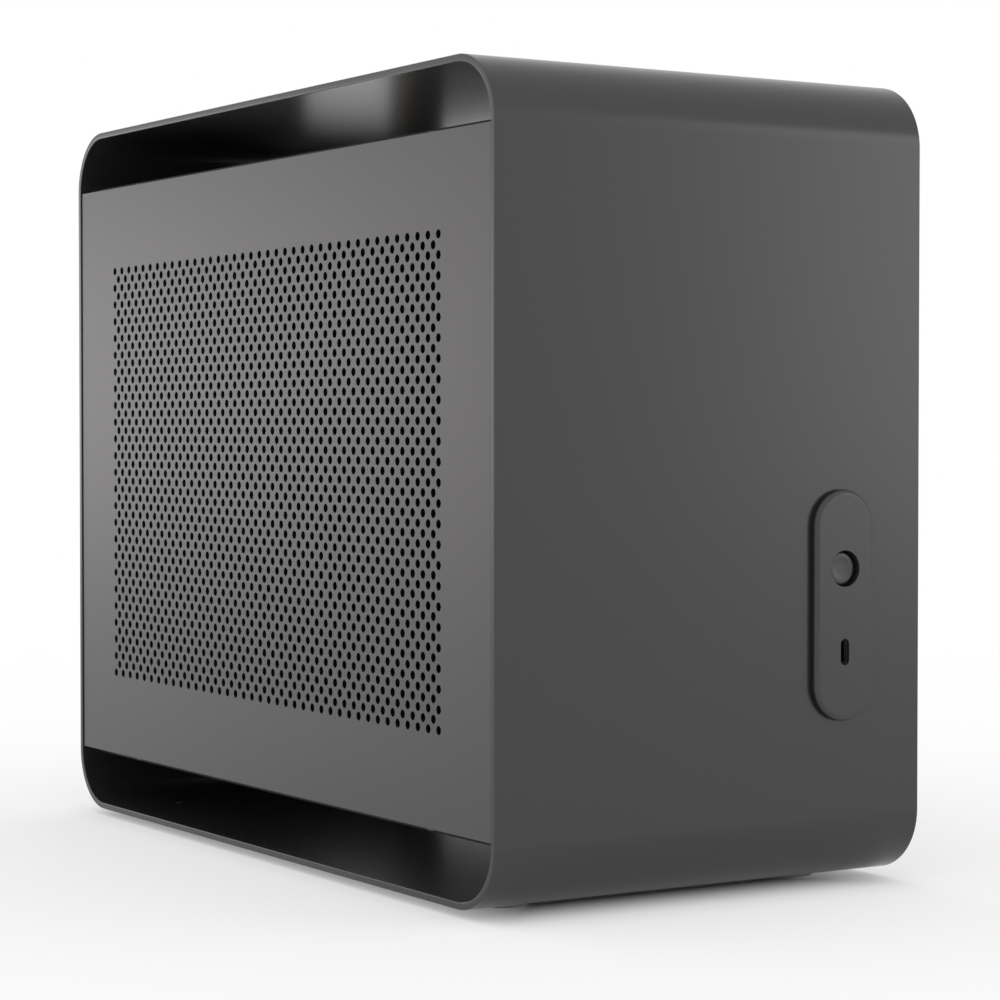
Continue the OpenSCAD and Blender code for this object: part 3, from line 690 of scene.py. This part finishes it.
# node: new name and the width of its broken edges in mm
SOFTENED = {
    "top_left_rail": ("rail_top_left", 0.12),
    "bottom_left_rail": ("rail_bottom_left", 0.12),
    "top_right_rail": ("rail_top_right", 0.12),
    "bottom_right_rail": ("rail_bottom_right", 0.12),
    "left_upright": ("upright_left", 0.3),
    "right_upright": ("upright_right", 0.3),
    "supply_bracket": ("supply_plate", 0.25),
    "drive_plate": ("drive_carrier", 0.25),
    "board_tray": ("folded_tray", 0.25),
    "slot_bracket": ("cover_bracket", 0.25),
    "upper_slot_cover": ("blanking_strip_upper", 0.2),
    "lower_slot_cover": ("blanking_strip_lower", 0.2),
    "mains_inlet": ("moulded_inlet", 0.4),
    "control_bracket": ("switch_bracket", 0.2),
    "front_left_foot": ("rubber_disc_front_left", 0.5),
    "front_right_foot": ("rubber_disc_front_right", 0.5),
    "rear_left_foot": ("rubber_disc_rear_left", 0.5),
    "rear_right_foot": ("rubber_disc_rear_right", 0.5),
}


def softened(node, width):
    """A copy of a frame node, merged into clean faces, with its sharp edges broken."""
    piece = copy_of(frame["nodes"][node])
    piece.parent = None
    for key in list(piece.keys()):
        del piece[key]
    edit(piece)
    bpy.ops.mesh.select_all(action="SELECT")
    bpy.ops.mesh.remove_doubles(threshold=0.002 * MM)
    bpy.ops.mesh.select_all(action="SELECT")
    bpy.ops.mesh.dissolve_limited(angle_limit=math.radians(0.5))
    done(piece)
    modify(piece, "BEVEL", width=width, segments=2, limit_method="ANGLE", angle_limit=math.radians(35),
           use_clamp_overlap=True)
    smooth(piece, 30)
    return piece


# ---- Operators


class CaseOperator:
    bl_options = {"REGISTER", "UNDO"}


class OBJECT_OT_case_wrap(CaseOperator, bpy.types.Operator):
    """Models the one-piece wrap with its rims, front opening and rear cut-outs"""

    bl_idname = "object.case_wrap"
    bl_label = "Wrap"

    def execute(self, context):
        settle(model_wrap(), "extruded_wrap", "case", "anodised", anodised_aluminium(), "wrap")
        return {"FINISHED"}


class OBJECT_OT_case_side_panels(CaseOperator, bpy.types.Operator):
    """Models the two perforated side panels"""

    bl_idname = "object.case_side_panels"
    bl_label = "Side panels"

    def execute(self, context):
        left = model_left_panel()
        right = copy_of(left)
        edit(right)
        bpy.ops.mesh.select_all(action="SELECT")
        bpy.ops.transform.mirror(orient_type="GLOBAL", constraint_axis=(True, False, False),
                                 center_override=(0, 0, 0))
        bpy.ops.mesh.flip_normals()
        done(right)
        settle(left, "perforated_left_panel", "left_panel", "anodised", sheet_finish_painted_lighter(), "left_panel")
        settle(right, "perforated_right_panel", "right_panel", "anodised", sheet_finish_painted_lighter(), "right_panel")
        return {"FINISHED"}


class OBJECT_OT_case_controls(CaseOperator, bpy.types.Operator):
    """Models the raised control block and its button"""

    bl_idname = "object.case_controls"
    bl_label = "Front controls"

    def execute(self, context):
        settle(model_control_cover(), "control_face", "case", "anodised", anodised_aluminium(), "control_cover")
        settle(model_control_base(), "control_plinth", "case", "black_plastic", moulded_plastic(), "control_base")
        settle(model_power_button(), "turned_power_button", "power_button", "anodised", anodised_aluminium(),
               "power_button")
        return {"FINISHED"}


class OBJECT_OT_case_carriers(CaseOperator, bpy.types.Operator):
    """Breaks the edges of rails, tray, carriers, brackets, socket and feet"""

    bl_idname = "object.case_carriers"
    bl_label = "Rails, carriers and feet"

    def execute(self, context):
        slots = {part["node"]: part["material_slot"] for part in frame["record"]["subparts"]}
        for node, (name, width) in SOFTENED.items():
            finish = FINISH_OF_SLOT[slots[node]]
            settle(softened(node, width * MM), name, "case", slots[node], finish(), node)
        return {"FINISHED"}


class OBJECT_OT_case_frame_finish(CaseOperator, bpy.types.Operator):
    """Gives every piece of the frame that is kept its own finish"""

    bl_idname = "object.case_frame_finish"
    bl_label = "Fasteners and small pieces"

    def execute(self, context):
        for part in frame["record"]["subparts"]:
            node = frame["nodes"][part["node"]]
            finish = nickel_shell if part["node"] == "usb_socket" else FINISH_OF_SLOT[part["material_slot"]]
            dress(node, finish())
        return {"FINISHED"}


class OBJECT_OT_case_stage(CaseOperator, bpy.types.Operator):
    """Adds the floor, the lights and the camera at the photograph's angle"""

    bl_idname = "object.case_stage"
    bl_label = "Stage"

    def execute(self, context):
        add_floor()
        add_world()
        add_lights()
        add_camera()
        context.scene.view_settings.view_transform = "Standard"
        return {"FINISHED"}


# ---- Stage

FLOOR_RADIUS = 14
# Distances from the case's footprint at which the floor's painted shadow is deepest, half white and all white: the
# floor's white glow fades out towards the case, darkest under it
PAINTED_SHADOW_START = -0.035
HALF_WHITE = 0.012
ALL_WHITE = 0.9


def add_floor():
    """A wide white floor that keeps the case's rendered shadow and adds a painted shadow round and under the case's
    footprint, deepest under it, and is plain white away from it.
    """
    deselect()
    bpy.ops.mesh.primitive_circle_add(vertices=96, radius=FLOOR_RADIUS, fill_type="NGON", location=(0, 0, 0))
    floor = bpy.context.object
    done(floor)
    floor.name = "studio_floor"
    material = bpy.data.materials.new("white_studio_floor")
    material.use_nodes = True
    tree = material.node_tree
    tree.nodes.remove(tree.nodes["Principled BSDF"])
    paint = add(tree, "ShaderNodeBsdfDiffuse", {"Color": rgba(colours().floor)})
    white = add(tree, "ShaderNodeEmission", {"Color": (1, 1, 1, 1), "Strength": 1.0})
    place = add(tree, "ShaderNodeTexCoord").outputs["Object"]
    size = add(tree, "ShaderNodeVectorMath", {0: place}, operation="ABSOLUTE").outputs["Vector"]
    past = add(tree, "ShaderNodeVectorMath", {0: size, 1: (CAD_BOX[1].x, CAD_BOX[1].y, 0)},
               operation="SUBTRACT").outputs["Vector"]
    beside = add(tree, "ShaderNodeVectorMath", {0: past, 1: (0, 0, 0)}, operation="MAXIMUM").outputs["Vector"]
    distance = add(tree, "ShaderNodeVectorMath", {0: beside}, operation="LENGTH").outputs["Value"]
    sides = add(tree, "ShaderNodeSeparateXYZ", {0: past}).outputs
    under = add(tree, "ShaderNodeMath", {0: sides["X"], 1: sides["Y"]}, operation="MAXIMUM").outputs[0]
    under = add(tree, "ShaderNodeMath", {0: under, 1: 0.0}, operation="MINIMUM").outputs[0]
    distance = add(tree, "ShaderNodeMath", {0: distance, 1: under}, operation="ADD").outputs[0]
    # Painted shadow: less of the white glow near the footprint, so the floor darkens towards and under the case
    # whatever the lamps do; the metal's reflections of the floor show it too
    near = add(tree, "ShaderNodeMapRange", {"Value": distance, "From Min": PAINTED_SHADOW_START,
                                             "From Max": HALF_WHITE, "To Max": 0.5}).outputs["Result"]
    far = add(tree, "ShaderNodeMapRange", {"Value": distance, "From Min": HALF_WHITE,
                                            "From Max": ALL_WHITE, "To Max": 0.5}).outputs["Result"]
    far = add(tree, "ShaderNodeMath", {0: near, 1: far}, operation="ADD").outputs[0]
    path = add(tree, "ShaderNodeLightPath")
    seen = add(tree, "ShaderNodeMath", {0: path.outputs["Is Camera Ray"], 1: path.outputs["Is Glossy Ray"]},
               operation="MAXIMUM").outputs[0]
    seen = add(tree, "ShaderNodeMath", {0: seen, 1: path.outputs["Is Transmission Ray"]},
               operation="MAXIMUM").outputs[0]
    share = add(tree, "ShaderNodeMath", {0: far, 1: seen}, operation="MULTIPLY").outputs[0]
    mixed = add(tree, "ShaderNodeMixShader", {0: share, 1: paint.outputs[0], 2: white.outputs[0]})
    tree.links.new(mixed.outputs[0], tree.nodes["Material Output"].inputs["Surface"])
    floor.data.materials.append(material)


def add_world():
    """An even white surround, at the level at which a colour renders as it is written."""
    world = bpy.data.worlds.new("white_surround")
    bpy.context.scene.world = world
    world.use_nodes = True
    tree = world.node_tree
    tree.nodes.clear()
    white = add(tree, "ShaderNodeBackground", {"Color": (1, 1, 1, 1), "Strength": 1.0})
    add(tree, "ShaderNodeOutputWorld", {"Surface": white.outputs[0]})


# name, place, aimed at, width, height, watts
LAMPS = (
    ("rear_left_strip", (-1.1, 2.32, 0.24), (-0.09, 0.0, 0.16), 0.75, 0.46, 2.35),
    ("left_softbox", (-1.9, 1.3, 0.75), (0, 0.05, 0.14), 2.2, 1.8, 3.8),
    ("right_strip", (1.75, -1.85, 0.6), (0, 0, 0.14), 0.6, 1.2, 4.4),
)


def add_lights():
    for name, place, aim, width, height, watts in LAMPS:
        deselect()
        turn = (Vector(aim) - Vector(place)).to_track_quat("-Z", "Y").to_euler()
        bpy.ops.object.light_add(type="AREA", location=place, rotation=turn)
        lamp = bpy.context.object
        lamp.name = name
        lamp.data.shape = "RECTANGLE"
        lamp.data.size = width
        lamp.data.size_y = height
        lamp.data.energy = watts


CAMERA_PLACE = (-0.568103, -0.942865, 0.164388)
CAMERA_TURN = (90 - 1.475, 0, -31.849)
CAMERA_LENS = 100.14
SENSOR_WIDTH = 36


def add_camera():
    """The photograph's viewpoint, fitted to the outline and the holes of the case."""
    deselect()
    turn = tuple(math.radians(angle) for angle in CAMERA_TURN)
    bpy.ops.object.camera_add(location=CAMERA_PLACE, rotation=turn)
    camera = bpy.context.object
    camera.name = "studio_camera"
    camera.data.sensor_width = SENSOR_WIDTH
    camera.data.lens = CAMERA_LENS
    camera.data.clip_end = 100
    bpy.context.scene.camera = camera


# ---- Add-on

STEPS = (OBJECT_OT_case_wrap, OBJECT_OT_case_side_panels, OBJECT_OT_case_controls, OBJECT_OT_case_carriers,
         OBJECT_OT_case_frame_finish, OBJECT_OT_case_stage)


class VIEW3D_PT_case(bpy.types.Panel):
    bl_label = "Mini-ITX case"
    bl_space_type = "VIEW_3D"
    bl_region_type = "UI"
    bl_category = "Case"

    def draw(self, context):
        layout = self.layout
        for group in (context.scene.case_sizes, context.scene.case_colours):
            for name in group.bl_rna.properties.keys():
                if name not in ("rna_type", "name"):
                    layout.prop(group, name)
        for step in STEPS:
            layout.operator(step.bl_idname)


CLASSES = (CaseSizes, CaseColours) + STEPS + (VIEW3D_PT_case,)


def register():
    for cls in CLASSES:
        bpy.utils.register_class(cls)
    bpy.types.Scene.case_sizes = PointerProperty(type=CaseSizes)
    bpy.types.Scene.case_colours = PointerProperty(type=CaseColours)


def unregister():
    del bpy.types.Scene.case_colours
    del bpy.types.Scene.case_sizes
    for cls in reversed(CLASSES):
        bpy.utils.unregister_class(cls)


def main():
    register()
    bpy.ops.object.case_wrap()
    bpy.ops.object.case_side_panels()
    bpy.ops.object.case_controls()
    bpy.ops.object.case_carriers()
    bpy.ops.object.case_frame_finish()
    bpy.ops.object.case_stage()


if __name__ == "__main__":
    main()
